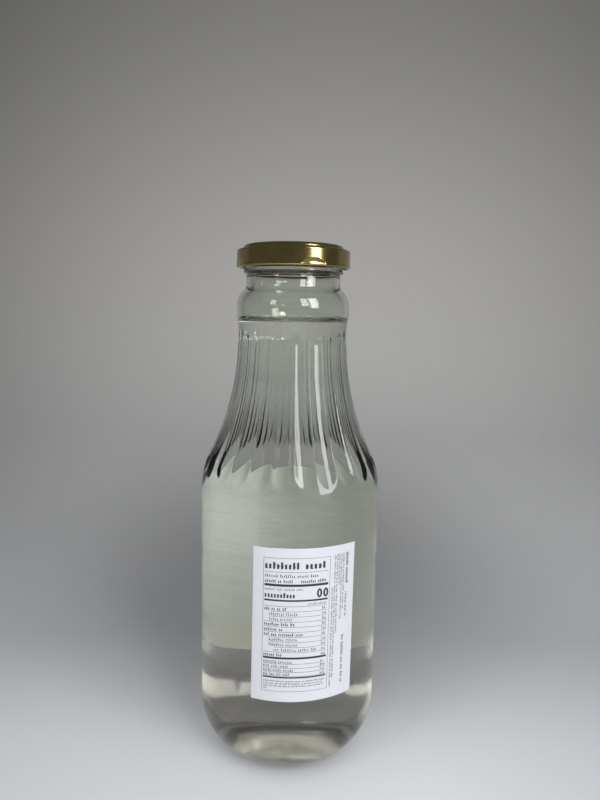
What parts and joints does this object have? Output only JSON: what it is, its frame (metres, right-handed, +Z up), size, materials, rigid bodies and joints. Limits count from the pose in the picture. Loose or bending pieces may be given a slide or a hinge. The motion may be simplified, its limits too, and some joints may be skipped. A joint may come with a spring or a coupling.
{
  "type": "glass juice bottle",
  "caption": "Tall clear glass bottle with a fluted shoulder, a bulged neck, a twist-off metal lug cap with a soft gasket, and paper labels front and back.",
  "frame": {"origin": "centre of the foot ring, on the table", "axes": "+Z up along the bottle's axis, -Y towards the side that carries the small front label"},
  "size_m": [0.0913, 0.0914, 0.2596],
  "materials": {
    "clear_glass": "smooth flint glass with a faint green edge",
    "white_paper": "coated label paper",
    "soft_gasket": "matt plastisol",
    "gold_tinplate": "gold lacquered tinplate"
  },
  "bodies": {
    "bottle": {"glass_bottle": "clear_glass", "front_label": "white_paper", "rear_label": "white_paper"},
    "gasket": {"sealing_gasket": "soft_gasket"},
    "cap": {"twist_off_cap": "gold_tinplate"}
  },
  "joints": [
    {"name": "cap_lift", "type": "slide", "parent": "bottle", "child": "gasket", "axis": [0, 0, 1], "range_m": [0, 0.06]},
    {"name": "cap_twist", "type": "hinge", "parent": "gasket", "child": "cap", "pos_m": [0, 0, 0.25], "axis": [0, 0, 1], "range_deg": [-55, 0]}
  ]
}
